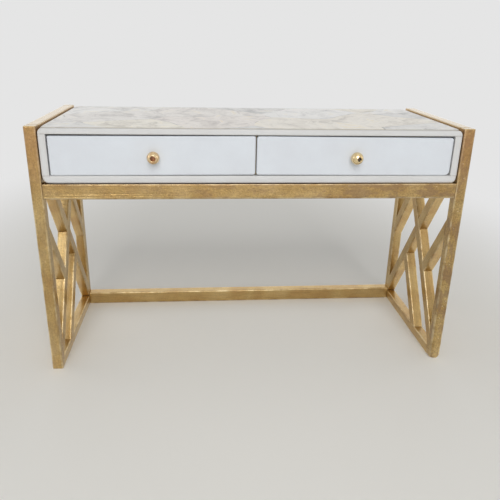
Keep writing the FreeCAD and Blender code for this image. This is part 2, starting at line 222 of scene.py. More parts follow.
whitePaintLook = {
    "colour": "#d6d7d7", "speckSpacing": 5.0 * mm,
    "patterns": {
        "mottle": (None, 9 * mm, 4.0, 0.6, 0.0),
        "peel": (None, 0.5 * mm, 2.0, 0.5, 0.0),
        "bristle": (0.05, 0.5 * mm, 2.0, 0.5, 0.0),
    },
    "ranges": {
        "share": ("mottle", 0.35, 0.65, 0.0, 1.0),
        "nearEdge": ("edge", 0.35 * mm, 0.0, 0.0, 0.6),
        "dust": ("speck", 0.030, 0.018, 0.0, 0.35),
        "gloss": ("mottle", 0.3, 0.7, 0.38, 0.48),
    },
    "layers": {"share": "#d1d1d0", "nearEdge": "#cccac7", "dust": "#a9a7a2"},
    "bumps": {"peel": (0.02 * mm, 0.3), "bristle": (0.015 * mm, 0.25)},
    "shader": {"Coat Weight": 0.12, "Coat Roughness": 0.3},
}
drawerPaintLook = {
    **whitePaintLook, "colour": "#d9dee4",
    "patterns": {**whitePaintLook["patterns"], "peel": (None, 0.6 * mm, 2.0, 0.5, 0.0)},
    "layers": {"share": "#d5d9df", "nearEdge": "#d0d4da", "dust": "#a9a7a2"},
}


def satinEnamel(name, look):
    # white enamel brushed on sanded wood: even, with a fine skin like orange peel and the odd speck of dust
    material, tree, at = startMaterial(name, look)
    at["edge"] = addNode(tree, "ShaderNodeAttribute", out="Fac", attribute_name="edgeGap")
    at["speck"] = addNode(tree, "ShaderNodeTexVoronoi", {
        "Vector": at["place"], "Scale": 1 / look["speckSpacing"],
    }, "Distance")
    for part, (source, *limits) in look["ranges"].items():
        at[part] = addNode(tree, "ShaderNodeMapRange", (at[source], *limits))
    closeMaterial(tree, look, at, linearColour(look["colour"]))
    return material


veneerLook = {
    "patchSize": 20 * mm, "patchShape": (0.90, 1.0, 0.0), "patchJump": 40 * mm,
    # how streaks and patches bend: size, detail, reach
    "bends": ((8 * mm, 4.0, 10 * mm), (13 * mm, 1.0, 5 * mm)),
    "stone": (
        (0.00, "#b6b5b4"), (0.14, "#c8c6c3"), (0.28, "#e5e3de"), (0.48, "#e1d4c9"), (0.64, "#ece2ca"),
        (0.82, "#f1efec"),
    ),
    "streak": ((0.28, "#969594"), (0.40, "#c8c6c3"), (0.48, "#e2e0db"), (0.58, "#f2f0ec"), (0.70, "#e9dcb9")),
    "streakShare": 0.55,
    "fineTone": ((0.34, 0.80), (0.50, 1.0)), "fineShare": 0.45,
    "mostTurn": math.radians(35),    # of each patch's streaks
    "patterns": {"seamNoise": (None, 6 * mm, 2.0, 0.5, 0.0)},
    "veins": {    # width over length, then as the patterns
        "broad": (0.36, 4.0 * mm, 6.0, 0.62, 0.7),
        "fine": (0.16, 0.9 * mm, 4.0, 0.6, 0.0),
    },
    "ranges": {
        "seamBreaks": ("seamNoise", 0.46, 0.62, 0.0, 0.65),
        "seam": ("border", 0.08 / 20, 0.20 / 20, 1.0, 0.0),    # a 0.2 mm seam, over the patch size
        "rim": ("edge", 0.18 * mm, 0.05 * mm, 0.0, 0.8),
        "gloss": ("broad", 0.3, 0.7, 0.46, 0.36),
    },
    "layers": {"seam": "#7d7973", "rim": "#b9b3a8"},
    "bumps": {"seam": (0.05 * mm, 0.5), "fine": (0.01 * mm, 0.2)},
    "shader": {"Specular IOR Level": 0.3},
}


def marbledSheet(name, look):
    # thin sheet printed as a mosaic of pale streaky stone, satin lacquered
    material, tree, at = startMaterial(name, look)
    at["edge"] = addNode(tree, "ShaderNodeAttribute", out="Fac", attribute_name="edgeGap")
    bent = []
    for size, detail, reach in look["bends"]:
        inputs = {"Vector": at["place"], "Scale": 1 / size, "Detail": detail}
        drift = addNode(tree, "ShaderNodeTexNoise", inputs, "Color")
        drift = addNode(tree, "ShaderNodeVectorMath", (drift, (0.5, 0.5, 0.5)), operation="SUBTRACT")
        drift = addNode(tree, "ShaderNodeVectorMath", {0: drift, "Scale": reach}, operation="SCALE")
        bent.append(addNode(tree, "ShaderNodeVectorMath", (at["place"], drift), operation="ADD"))
    flat = addNode(tree, "ShaderNodeVectorMath", (bent[1], look["patchShape"]), operation="MULTIPLY")
    inputs = {"Vector": flat, "Scale": 1 / look["patchSize"]}
    cell = addNode(tree, "ShaderNodeTexVoronoi", inputs, "Color", voronoi_dimensions="2D")
    at["border"] = addNode(tree, "ShaderNodeTexVoronoi", inputs, "Distance",
                           voronoi_dimensions="2D", feature="DISTANCE_TO_EDGE")
    patch = addNode(tree, "ShaderNodeSeparateColor", (cell,), None)
    # each patch's streaks run their own way
    turn = addNode(tree, "ShaderNodeMapRange", (patch[1], 0.0, 1.0, -look["mostTurn"], look["mostTurn"]))
    jump = addNode(tree, "ShaderNodeVectorMath", {0: cell, "Scale": look["patchJump"]}, operation="SCALE")
    own = addNode(tree, "ShaderNodeVectorMath", (bent[0], jump), operation="ADD")
    turned = addNode(tree, "ShaderNodeVectorRotate", {"Vector": own, "Angle": turn}, rotation_type="Z_AXIS")
    for part, (width, size, detail, roughness, distortion) in look["veins"].items():
        way = addNode(tree, "ShaderNodeVectorMath", (turned, (1.0, width, 1.0)), operation="MULTIPLY")
        at[part] = addNode(tree, "ShaderNodeTexNoise", {
            "Vector": way, "Scale": 1 / size, "Detail": detail,
            "Roughness": roughness, "Distortion": distortion,
        })
    for part, (source, *limits) in look["ranges"].items():
        at[part] = addNode(tree, "ShaderNodeMapRange", (at[source], *limits))
    at["seam"] = addNode(tree, "ShaderNodeMath", (at["seam"], at["seamBreaks"]), operation="MULTIPLY")
    stone = addNode(tree, "ShaderNodeValToRGB", (patch[0],), stops=look["stone"])
    streak = addNode(tree, "ShaderNodeValToRGB", (at["broad"],), stops=look["streak"])
    colour = addNode(tree, "ShaderNodeMix", {0: look["streakShare"], 6: stone, 7: streak}, 2,
                     data_type="RGBA")
    fineTone = addNode(tree, "ShaderNodeValToRGB", (at["fine"],), stops=look["fineTone"])
    colour = addNode(tree, "ShaderNodeMix", {0: look["fineShare"], 6: colour, 7: fineTone}, 2,
                     data_type="RGBA", blend_type="MULTIPLY")
    closeMaterial(tree, look, at, colour)
    return material


basswoodLook = {
    "light": "#e0cda8", "dark": "#cdb48a", "poreTone": ((0.30, 0.72), (0.42, 1.0)), "poreShare": 0.6,
    "patterns": {"rings": (0.04, 1.6 * mm, 4.0, 0.5, 0.3), "pores": (0.06, 0.12 * mm, 1.0, 0.5, 0.0)},
    "ranges": {"share": ("rings", 0.35, 0.65, 0.0, 1.0), "gloss": ("rings", 0.3, 0.7, 0.62, 0.78)},
    "layers": {}, "bumps": {"pores": (0.04 * mm, 0.4)}, "shader": {},
}


def bareBasswood(name, look):
    # sanded, unfinished basswood: pale, close grained, dull
    material, tree, at = startMaterial(name, look)
    for part, (source, *limits) in look["ranges"].items():
        at[part] = addNode(tree, "ShaderNodeMapRange", (at[source], *limits))
    colour = addNode(tree, "ShaderNodeMix", {
        0: at["share"], 6: linearColour(look["light"]), 7: linearColour(look["dark"]),
    }, 2, data_type="RGBA")
    poreTone = addNode(tree, "ShaderNodeValToRGB", (at["pores"],), stops=look["poreTone"])
    colour = addNode(tree, "ShaderNodeMix", {0: look["poreShare"], 6: colour, 7: poreTone}, 2,
                     data_type="RGBA", blend_type="MULTIPLY")
    closeMaterial(tree, look, at, colour)
    return material


beadLook = {
    "patterns": {"smudge": (None, 0.9 * mm, 3.0, 0.5, 0.0), "dents": (None, 0.35 * mm, 2.0, 0.5, 0.0)},
    "ranges": {"share": ("smudge", 0.40, 0.65, 0.0, 1.0), "gloss": ("smudge", 0.3, 0.7, 0.12, 0.22)},
    "bumps": {"dents": (0.02 * mm, 0.3)}, "shader": {"Metallic": 1.0},
    "left": {"colour": "#f1d8ad", "layers": {"share": "#dcb688"}},    # this bead is painted rosier: a painted reflection of the warm gold round it
    "right": {"colour": "#efdaad", "layers": {"share": "#dfc391"}},
}


def platedBead(name, look):
    # gold-filled metal bead: polished, with faint tumbling marks
    material, tree, at = startMaterial(name, look)
    for part, (source, *limits) in look["ranges"].items():
        at[part] = addNode(tree, "ShaderNodeMapRange", (at[source], *limits))
    closeMaterial(tree, look, at, linearColour(look["colour"]))
    return material


pinLook = {
    "patterns": {"blotch": (None, 0.45 * mm, 3.0, 0.5, 0.0)},
    "ranges": {"share": ("blotch", 0.35, 0.65, 0.0, 1.0), "gloss": ("blotch", 0.3, 0.7, 0.45, 0.7)},
    "bumps": {"blotch": (0.03 * mm, 0.5)}, "shader": {},
    "left": {"colour": "#a87450", "layers": {"share": "#74492e"}},
    # painted shade: the right pin is coloured dark for the shade deep in its tilted bead's hole
    "right": {"colour": "#6f6055", "layers": {"share": "#3a2f29"}},
}


def stainedPin(name, look):
    # end grain of a wooden pin, browned with glue: dull and blotched; the right pin's darker colours are
    # painted shade
    material, tree, at = startMaterial(name, look)
    for part, (source, *limits) in look["ranges"].items():
        at[part] = addNode(tree, "ShaderNodeMapRange", (at[source], *limits))
    closeMaterial(tree, look, at, linearColour(look["colour"]))
    return material


goldPaint = metallicAcrylic("goldMetallicAcrylic", goldPaintLook)
whitePaint = satinEnamel("whiteSatinEnamel", whitePaintLook)
drawerPaint = satinEnamel("drawerSatinEnamel", drawerPaintLook)
veneer = marbledSheet("marbledVeneer", veneerLook)
basswood = bareBasswood("bareBasswood", basswoodLook)
beadGold, pinWood = {}, {}
# each side gets its own colours: a painted reflection on the left bead, painted shade on the right pin
for side in ("left", "right"):
    beadGold[side] = platedBead(f"goldFilledBead_{side}", {**beadLook, **beadLook[side]})
    pinWood[side] = stainedPin(f"stainedPinAndShade_{side}", {**pinLook, **pinLook[side]})
print("materials made:", len(bpy.data.materials))


def addObject(name, data):
    thing = bpy.data.objects.new(name, data)
    bpy.context.scene.collection.objects.link(thing)
    return thing


def closedMesh(name, verts, faces):
    # smooth faces that all point outwards
    mesh = bpy.data.meshes.new(name)
    mesh.from_pydata([tuple(v) for v in verts], [], faces)
    shaped = bmesh.new()
    shaped.from_mesh(mesh)
    bmesh.ops.recalc_face_normals(shaped, faces=shaped.faces)
    for face in shaped.faces:
        face.smooth = True
    shaped.to_mesh(mesh)
    shaped.free()
    return mesh


# bars: every strip and board is a rectangular section carried from one end to the other

barLook = {    # what a bar's own look doesn't say
    "radius": 0.2 * mm, "startRound": 0.12 * mm, "endRound": 0.12 * mm, "spacing": 0.8 * mm,
    "sideSpacing": 0.9 * mm, "settleLength": 1.0, "grainShift": (0, 0, 0),
    "swell": 0.05 * mm, "swellSize": 3.0 * mm, "ridge": 0.0, "ridgeSpacing": 0.8 * mm, "seed": 0.0,
}
barSteps = {
    "corner": 4, "end": 3,    # faces round a section's corner, and round an end's edge
    "edgeSupport": 0.28 * mm,    # how far in from its edges a face has its first line,
    "supportShare": 0.25, "endShare": 0.3, "capShare": 0.33,    # and its most, of a thin or short one
    "leastRound": 0.02 * mm, "roundShare": 0.9,    # the most of a side that its two rounds take up
    "fewestCuts": 2, "mostCuts": 80,    # across a face
}


def sectionRing(corners, axis, radii, inset, cuts):
    # points round a section with rounded corners, and each point's distance from the nearest corner
    count = len(corners)
    ways, stretches = [], []
    for k in range(count):
        side = corners[(k + 1) % count] - corners[k]
        ways.append(side.normalized())
        stretches.append(side.length / side.cross(axis).length)
    moved = [corners[k] + ways[k] * inset * stretches[k] - ways[k - 1] * inset * stretches[k - 1]
             for k in range(count)]
    rounds = [max(r - inset, barSteps["leastRound"]) for r in radii]
    fit = 1.0
    for k in range(count):
        room = (moved[(k + 1) % count] - moved[k]).length
        taken = (rounds[k] + rounds[(k + 1) % count]) * stretches[k]
        fit = min(fit, barSteps["roundShare"] * room / taken)
    turns = [math.pi / 2 * j / barSteps["corner"] for j in range(barSteps["corner"] + 1)]
    arcs = []
    for k in range(count):
        into, out = ways[k - 1] * stretches[k - 1], ways[k] * stretches[k]
        arcs.append([moved[k] + (out * (1 - math.cos(a)) - into * (1 - math.sin(a))) * rounds[k] * fit
                     for a in turns])
    points, gaps = [], []
    for k in range(count):
        points += arcs[k]
        gaps += [0.0] * len(turns)
        first, last = arcs[k][-1], arcs[(k + 1) % count][0]
        width = (last - first).length
        support = min(barSteps["edgeSupport"] / max(width, 1e-9), barSteps["supportShare"])
        for j in range(cuts[k] + 1):
            share = support + (1 - 2 * support) * j / cuts[k]
            points.append(first.lerp(last, share))
            gaps.append(width * min(share, 1 - share))
    return points, gaps


def barStations(length, look, thinnest):
    # distances along a bar, each with how far its ring is drawn in, from one end's cap to the other's
    ends = look["startRound"], look["endRound"]
    support = min(barSteps["edgeSupport"], barSteps["endShare"] * (length - sum(ends)))
    turns = [math.pi / 2 * j / barSteps["end"] for j in range(barSteps["end"] + 1)]
    first, last = ([(r * (1 - math.cos(a)), r * (1 - math.sin(a))) for a in turns] + [(r + support, 0.0)]
                   for r in ends)
    reach = length - first[-1][0] - last[-1][0]
    inner = max(1, round(reach / look["spacing"]))
    middle = [(first[-1][0] + reach * j / inner, 0.0) for j in range(1, inner)]
    caps = [min(r + barSteps["edgeSupport"], barSteps["capShare"] * thinnest) for r in ends]
    late = [(length - distance, inset) for distance, inset in reversed(last)]
    return [(0.0, caps[0]), *first, *middle, *late, (length, caps[1])], caps


def barMesh(name, start, end, look):
    # start and end: four corners each, in the same order round the section
    look = {**barLook, **look}
    axis = (end[0] - start[0]).normalized()
    length = sum((b - a).length for a, b in zip(start, end)) / 4
    radii = look.get("radii", (look["radius"],) * 4)
    lateRadii = look.get("lateRadii", radii)    # what the corners settle to, past the first millimetres
    sides = [[(q[(k + 1) % 4] - q[k]).length for q in (start, end)] for k in range(4)]
    cuts = [round(max(pair) / look["sideSpacing"]) for pair in sides]
    cuts = [max(barSteps["fewestCuts"], min(barSteps["mostCuts"], n)) for n in cuts]
    thinnest = min(min(pair) for pair in sides)
    stations, caps = barStations(length, look, thinnest)

    verts, gaps = [], []
    for distance, inset in stations:
        corners = [a.lerp(b, distance / length) for a, b in zip(start, end)]
        settled = min(1.0, distance / look["settleLength"])
        ringRadii = [first + (late - first) * settled for first, late in zip(radii, lateRadii)]
        ring, ringGaps = sectionRing(corners, axis, ringRadii, inset, cuts)
        fromEnd = min(distance, length - distance)
        onCap = fromEnd == 0 and inset in caps
        verts += ring
        gaps += [inset if onCap else min(g, fromEnd) if inset == 0 else 0.0 for g in ringGaps]
    around = len(verts) // len(stations)
    faces = []
    for s in range(0, len(verts) - around, around):
        for j in range(around):
            k = (j + 1) % around
            faces.append((s + j, s + k, s + around + k, s + around + j))
    for first, inset in ((0, caps[0]), (len(verts) - around, caps[1])):    # each end closes to its middle
        faces += [(first + j, first + (j + 1) % around, len(verts)) for j in range(around)]
        verts.append(sum(verts[first:first + around], Vector()) / around)
        gaps.append(max(inset, thinnest / 2))

    across = (start[1] - start[0]).normalized()
    across = (across - axis * across.dot(axis)).normalized()
    third = axis.cross(across)
    middle = sum(start, Vector()) / 4
    drift = Vector(look["grainShift"])
    grain = [Vector([(v - middle).dot(way) for way in (axis, across, third)]) + drift for v in verts]
    if "reshape" in look:
        verts = [look["reshape"](v) for v in verts]
    mesh = closedMesh(name, verts, faces)
    layers = (
        ("grainWay", "FLOAT_VECTOR", "vector", [c for g in grain for c in g]),
        ("edgeGap", "FLOAT", "value", gaps),
    )
    for title, kind, part, values in layers:
        mesh.attributes.new(title, kind, "POINT").data.foreach_set(part, values)
    return addObject(name, mesh)


def boxCorners(nodeName, along):
    # the corners of both ends of a box-shaped node, for a bar that runs along x, y or z
    low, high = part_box(nodeName)
    way = "xyz".index(along)
    first, second = (way + 1) % 3, (way + 2) % 3
    ends = []
    for level in (low[way], high[way]):
        corners = []
        for a, b in ((low, low), (high, low), (high, high), (low, high)):
            corner = Vector((0, 0, 0))
            corner[way], corner[first], corner[second] = level, a[first], b[second]
            corners.append(corner)
        ends.append(corners)
    return ends


def braceCorners(nodeName):
    # a brace lies in its side frame's plane, and its four corners are what stands out farthest all round
    cornerGap = 0.05 * mm
    low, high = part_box(nodeName)
    outline = [Vector((v.co.y, v.co.z)) for v in cadNodes[nodeName].data.vertices]
    corners = []
    for step in range(360):
        turn = math.radians(step + 0.5)
        farthest = max(outline, key=Vector((math.cos(turn), math.sin(turn))).dot)
        if all((farthest - corner).length > cornerGap for corner in corners):
            corners.append(farthest)
    a, b, c, d = corners
    if (b - a).length + (d - c).length < (c - b).length + (a - d).length:
        a, b, c, d = b, c, d, a
    ends = []
    for one, other in ((a, d), (b, c)):
        turns = (one, low.x), (one, high.x), (other, high.x), (other, low.x)
        ends.append([Vector((x, p.x, p.y)) for p, x in turns])
    return ends


# the hand-worked skin, as one Geometry Nodes tree for every strip and board

skinLook = {
    "sizes": ("swell", "swellSize", "ridge", "ridgeSpacing", "seed"),
    "detail": {"swell": 2.0, "ridge": 1.0},
    "ridgeShape": (1.0, 0.25, 0.25),    # ridges lie across the strip, where the brush chattered
}


def paintSkinTree(look):
    tree = bpy.data.node_groups.new("paintSkin", "GeometryNodeTree")
    kinds = {"Geometry": "Geometry", **dict.fromkeys(look["sizes"], "Float"), "paint": "Material"}
    sockets = {}
    for name, kind in kinds.items():
        socket = tree.interface.new_socket(name=name, in_out="INPUT", socket_type="NodeSocket" + kind)
        sockets[name] = socket.identifier
    tree.interface.new_socket(name="Geometry", in_out="OUTPUT", socket_type="NodeSocketGeometry")
    given = addNode(tree, "NodeGroupInput", out=None)
    grain = addNode(tree, "GeometryNodeInputNamedAttribute", {"Name": "grainWay"}, data_type="FLOAT_VECTOR")
    place = addNode(tree, "GeometryNodeInputPosition")
    squeezed = addNode(tree, "ShaderNodeVectorMath", (grain, look["ridgeShape"]), operation="MULTIPLY")
    heights = []
    for part, size, way in (("swell", "swellSize", place), ("ridge", "ridgeSpacing", squeezed)):
        rate = addNode(tree, "ShaderNodeMath", (1.0, given[size]), operation="DIVIDE")
        height = addNode(tree, "ShaderNodeTexNoise", {
            "Vector": way, "W": given["seed"], "Scale": rate, "Detail": look["detail"][part],
        }, noise_dimensions="4D")
        height = addNode(tree, "ShaderNodeMath", (height, 0.5), operation="SUBTRACT")
        heights.append(addNode(tree, "ShaderNodeMath", (height, given[part]), operation="MULTIPLY"))
    height = addNode(tree, "ShaderNodeMath", heights, operation="ADD")
    normal = addNode(tree, "GeometryNodeInputNormal")
    offset = addNode(tree, "ShaderNodeVectorMath", {0: normal, "Scale": height}, operation="SCALE")
    moved = addNode(tree, "GeometryNodeSetPosition", {"Geometry": given["Geometry"], "Offset": offset})
    whole = addNode(tree, "GeometryNodeRealizeInstances", (moved,))
    painted = addNode(tree, "GeometryNodeSetMaterial", {"Geometry": whole, "Material": given["paint"]})
    addNode(tree, "NodeGroupOutput", (painted,), None)
    return tree, sockets


paintSkin, skinSocket = paintSkinTree(skinLook)


def placePiece(piece, nodeName):
    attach(piece, bodyOf[nodeName])
    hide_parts(nodeName)


def addBar(name, ends, look, material, nodeName, cutter=None):
    # a bar with its skin, then any cut, applied to a plain mesh in its node's place
    piece = barMesh(name, *ends, look)
    skin = piece.modifiers.new("paintSkin", "NODES")
    skin.node_group = paintSkin
    for part in skinLook["sizes"]:
        skin[skinSocket[part]] = look.get(part, barLook[part])
    skin[skinSocket["paint"]] = material
    if cutter:
        cut = piece.modifiers.new("cut", "BOOLEAN")
        cut.operation = "DIFFERENCE"
        cut.object = cutter
    mesh = bpy.data.meshes.new_from_object(piece.evaluated_get(bpy.context.evaluated_depsgraph_get()))
    piece.modifiers.clear()
    if cutter:    # the notch's many-sided faces become fans, so that none is left with a flat corner
        bpy.data.objects.remove(cutter)
        weld, sliver = 0.002 * mm, 0.001 * mm
        shaped = bmesh.new()
        shaped.from_mesh(mesh)
        bmesh.ops.remove_doubles(shaped, verts=shaped.verts, dist=weld)
        bmesh.ops.poke(shaped, faces=[face for face in shaped.faces if len(face.verts) > 4])
        bmesh.ops.dissolve_degenerate(shaped, edges=shaped.edges, dist=sliver)
        shaped.to_mesh(mesh)
        shaped.free()
    piece.data = mesh
    placePiece(piece, nodeName)


# gold side frames and cross bars

stripLook = {
    "radius": 0.26 * mm, "startRound": 0.16 * mm, "endRound": 0.16 * mm,
    "spacing": 0.5 * mm, "sideSpacing": 0.55 * mm,
    "swell": 0.06 * mm, "swellSize": 2.6 * mm, "ridge": 0.02 * mm, "ridgeSpacing": 0.9 * mm,
}
braceLook = {
    **stripLook, "spacing": 0.14 * mm, "startRound": 0.05 * mm, "endRound": 0.05 * mm, "swell": 0.03 * mm,
}
climbingLook = {"ridge": 0.13 * mm, "ridgeSpacing": 0.45 * mm}
frontRailLook = {
    "sideSpacing": 0.10 * mm, "spacing": 0.4 * mm, "radii": (0.38 * mm, 0.26 * mm, 0.26 * mm, 0.20 * mm),
    "scoreHeights": (1.35 * mm, 0.80 * mm), "scoreWidth": 0.14 * mm, "scoreDepth": 0.045 * mm,
    "scoreWander": 0.07 * mm, "wanderLength": 5.3 * mm, "scoreFull": -36 * mm, "scoreGone": -16 * mm,
    "faceDepth": 0.3 * mm, "faceGone": 0.8 * mm,    # how far back the face is moved whole, and not at all
}
stretcherLook = {"swell": 0.025 * mm, "swellSize": 6 * mm}
rightLegLook = {
    "sideSpacing": 0.2 * mm, "spacing": 0.25 * mm,
    "outerFoot": 1.25 * mm, "innerFoot": 0.5 * mm,    # this foot was sanded round
    "wornIn": 0.85 * mm, "wornBack": 0.9 * mm, "wornDepth": 0.55 * mm,
    "wornTop": 40 * mm, "wornFade": 14 * mm,
}
barWays = {"front_leg": "z", "rear_leg": "z", "top_rail": "y", "bottom_rail": "y"}
braceNames = ("long_brace", "cross_brace", "rear_brace", "front_brace", "lower_brace", "upper_brace")
climbing = ("cross_brace", "lower_brace", "upper_brace")


def smooth(value, start, end):
    share = min(1.0, max(0.0, (value - start) / (end - start)))
    return share * share * (3 - 2 * share)


def scoredFace(look):
    # two hairlines scored along the lower part of the rail's face, dying out to the right
    low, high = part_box("front_rail")

    def reshape(v):
        front = 1 - smooth(v.y, low.y + look["faceDepth"], low.y + look["faceGone"])
        level = v.z - low.z - look["scoreWander"] * math.sin(v.x / look["wanderLength"])
        fade = 1 - smooth(v.x, look["scoreFull"], look["scoreGone"])
        line = sum(max(0.0, 1 - abs(level - height) / look["scoreWidth"]) for height in look["scoreHeights"])
        return v + Vector((0, look["scoreDepth"] * front * line * fade, 0))

    return reshape


def sandedLeg(look):
    # the foot's corners are rounded, and the front inner corner is rubbed to a slant on the lower part
    low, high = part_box("right_front_leg")
    middle = (low.x + high.x) / 2
    half = high.x - middle

    def reshape(v):
        radius = look["innerFoot"] if v.x < middle else look["outerFoot"]
        rise = max(0.0, radius - v.z)
        drawnIn = radius - math.sqrt(max(0.0, radius * radius - rise * rise))
        x = middle + (v.x - middle) * (half - drawnIn) / half
        front = 1 - smooth(v.y, low.y + look["wornBack"], high.y)
        turned = max(0.0, 1 - (v.x - low.x) / look["wornIn"])
        fade = 1 - smooth(v.z, look["wornTop"] - look["wornFade"], look["wornTop"])
        return Vector((x, v.y + look["wornDepth"] * front * turned * fade, v.z))

    return reshape


def halvingCutter(otherName, outerHalf, side):
    # the other full brace, kept to one half of the thickness and past the face
    start, end = braceCorners(otherName)
    low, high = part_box(otherName)
    middle = (low.x + high.x) / 2
    upward = outerHalf == (side == "right")
    bounds = (middle, high.x + mm) if upward else (low.x - mm, middle)
    for corner in start + end:
        corner.x = bounds[1] if corner.x > middle else bounds[0]
    return barMesh("cutter", start, end, {
        "radius": 0.03 * mm, "startRound": 0.02 * mm, "endRound": 0.02 * mm, "spacing": 5 * mm,
    })


seed = 1.0
for side in ("left", "right"):
    for part, along in barWays.items():
        look = {**stripLook, "seed": seed, "grainShift": (seed * 7 * mm, 0, 0)}
        if (side, part) == ("right", "front_leg"):
            look.update(rightLegLook, reshape=sandedLeg(rightLegLook))
        nodeName = f"{side}_{part}"
        addBar(nodeName + "_painted", boxCorners(nodeName, along), look, goldPaint, nodeName)
        seed += 1.0
    for part in braceNames:
        look = {**braceLook, "seed": seed, "grainShift": (seed * 7 * mm, 0, 0)}
        if part in climbing:
            look.update(climbingLook)
        cutter = None
        if part == "long_brace":
            cutter = halvingCutter(f"{side}_cross_brace", False, side)
        if part == "cross_brace":
            cutter = halvingCutter(f"{side}_long_brace", True, side)
        nodeName = f"{side}_{part}"
        addBar(nodeName + "_painted", braceCorners(nodeName), look, goldPaint, nodeName, cutter)
        seed += 1.0
crossBars = {
    "front_rail": {**frontRailLook, "reshape": scoredFace(frontRailLook)},
    "rear_rail": {}, "rear_stretcher": stretcherLook,
}
for part, changes in crossBars.items():
    look = {**stripLook, "sideSpacing": 0.4 * mm, **changes, "seed": seed}
    look["grainShift"] = (seed * 7 * mm, 0, 0)
    addBar(part + "_painted", boxCorners(part, "x"), look, goldPaint, part)
    seed += 1.0
print("gold frames made")


# white case

boardLook = {
    "radius": 0.12 * mm, "startRound": 0.05 * mm, "endRound": 0.05 * mm,
    "spacing": 1.6 * mm, "sideSpacing": 1.6 * mm, "swell": 0.03 * mm, "swellSize": 9 * mm,
}
sheetLook = {
    "radius": 1.0 * mm, "startRound": 0.03 * mm, "endRound": 0.05 * mm, "sideSpacing": 1.5 * mm, "swell": 0.0,
}
caseBoards = {
    # along y the section's corners run: low left, high left, high right, low right
    "top_panel": ("y", {
        "radii": (0.06 * mm, 1.1 * mm, 1.1 * mm, 0.06 * mm), "startRound": 0.18 * mm, "endRound": 0.18 * mm,
        "lateRadii": (0.06 * mm, 0.35 * mm, 0.5 * mm, 0.06 * mm), "settleLength": 5 * mm,
    }),
    "bottom_panel": ("y", {
        "radii": (1.5 * mm, 0.06 * mm, 0.06 * mm, 1.2 * mm), "startRound": 0.38 * mm, "endRound": 0.22 * mm,
    }),
    "left_side_panel": ("z", {"radius": 0.16 * mm}),
    "right_side_panel": ("z", {"radius": 0.16 * mm}),
    "back_panel": ("x", {}),
}


def board(nodeName, along, look, material):
    ends = boxCorners(nodeName, along)
    low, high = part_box(nodeName)
    for corner in ends[0] + ends[1]:    # some hang a hair low or out of level, or reach on to the middle
        aside = 2 * (corner.x - low.x) / (high.x - low.x) - 1
        corner.z += look.get("tilt", 0.0) * aside - look.get("drop", 0.0)
        if abs(corner.x) < mm:
            corner.x -= math.copysign(look.get("reach", 0.0), corner.x)
    addBar(nodeName + "_finished", ends, look, material, nodeName)


for nodeName, (along, changes) in caseBoards.items():
    board(nodeName, along, {**boardLook, **changes, "seed": seed}, whitePaint)
    seed += 1.0
board("centre_divider", "y", {**boardLook, "seed": seed}, basswood)
board("top_veneer", "z", sheetLook, veneer)
print("case made")


# drawers and knobs

frontLook = {
    **boardLook, "startRound": 0.22 * mm, "endRound": 0.15 * mm,
    "spacing": 0.5 * mm, "sideSpacing": 1.2 * mm, "swell": 0.02 * mm, "drop": 0.07 * mm, "reach": 0.06 * mm,
    # corners: low left, high left, high right, low right
    "left": {"radii": (0.35 * mm, 0.22 * mm, 0.4 * mm, 0.6 * mm), "tilt": 0.09 * mm},
    "right": {"radii": (0.5 * mm, 0.6 * mm, 0.45 * mm, 1.2 * mm), "tilt": -0.08 * mm},
}
woodBoards = {"left_side": "y", "right_side": "y", "back": "x", "bottom": "x"}
knobLook = {
    "segments": 64, "arcSteps": 20, "rimRound": 0.10 * mm, "rimTurn": 0.07,
    "lipOut": 0.35, "lipRise": 0.9, "lipDepth": 2.0,    # over the rim's round
    "turned": {"left": (0.0, -3.0), "right": (10.0, 0.0)},    # degrees to the right and down
    "mouthShare": {"left": 1.0, "right": 0.80},    # how far a burr leaves each hole open
}
pinShape = {
    "segments": 32,
    # share of the radius, and how far back
    "dome": ((0.0, 0.0), (0.55, 0.02 * mm), (0.9, 0.09 * mm), (1.0, 0.2 * mm)),
}


def spunMesh(name, profile, segments, middle, turned=Matrix.Identity(3)):
    # a profile of (radius, y) spun round y, its last point joined to its first, or ending in poles
    rings, verts, faces = [], [], []
    for radius, y in profile:
        count = segments if radius else 1
        rings.append([len(verts) + i % count for i in range(segments)])
        for i in range(count):
            angle = 2 * math.pi * i / segments
            v = Vector((radius * math.cos(angle), y, radius * math.sin(angle)))
            verts.append(middle + turned @ v)
    for first, second in zip(rings, rings[1:] + rings[:1]):
        for i in range(segments):
            k = (i + 1) % segments
            loop = tuple(dict.fromkeys((first[i], second[i], second[k], first[k])))
            if len(loop) > 2:
                faces.append(loop)
    return closedMesh(name, verts, faces)


def turnedBead(name, side, middle, radius, bore, look):
    # a sphere with a hole along y, its mouths slightly rounded
    rim = look["rimRound"]
    mouthRadius = bore * look["mouthShare"][side]
    mouth = math.asin(mouthRadius / radius)
    first, steps = mouth + look["rimTurn"], look["arcSteps"]
    angles = [first + (math.pi - 2 * first) * i / steps for i in range(steps + 1)]
    halfBore = radius * math.cos(mouth) - rim
    lip = [
        (mouthRadius + rim * look["lipOut"], halfBore + rim * look["lipRise"]),
        (mouthRadius, halfBore), (bore, halfBore - rim * look["lipDepth"]),
    ]
    profile = [(radius * math.sin(a), -radius * math.cos(a)) for a in angles]
    profile += [*lip, (bore, 0.0), *((r, -y) for r, y in reversed(lip))]
    yaw, pitch = (math.radians(a) for a in look["turned"][side])
    turned = Matrix.Rotation(yaw, 3, "Z") @ Matrix.Rotation(pitch, 3, "X")
    mesh = spunMesh(name, profile, look["segments"], middle, turned)
    mesh.materials.append(beadGold[side])
    return addObject(name, mesh)


def pinEnd(nodeName, material, look):
    # a short round pin with a slightly domed end inside the bead
    low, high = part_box(nodeName)
    radius = (high.x - low.x) / 2
    profile = [(radius * share, low.y + depth) for share, depth in look["dome"]]
    profile += [(radius, high.y), (0.0, high.y)]
    middle = Vector(((low.x + high.x) / 2, 0, (low.z + high.z) / 2))
    mesh = spunMesh(nodeName, profile, look["segments"], middle)
    mesh.materials.append(material)
    return addObject(nodeName + "_end", mesh)


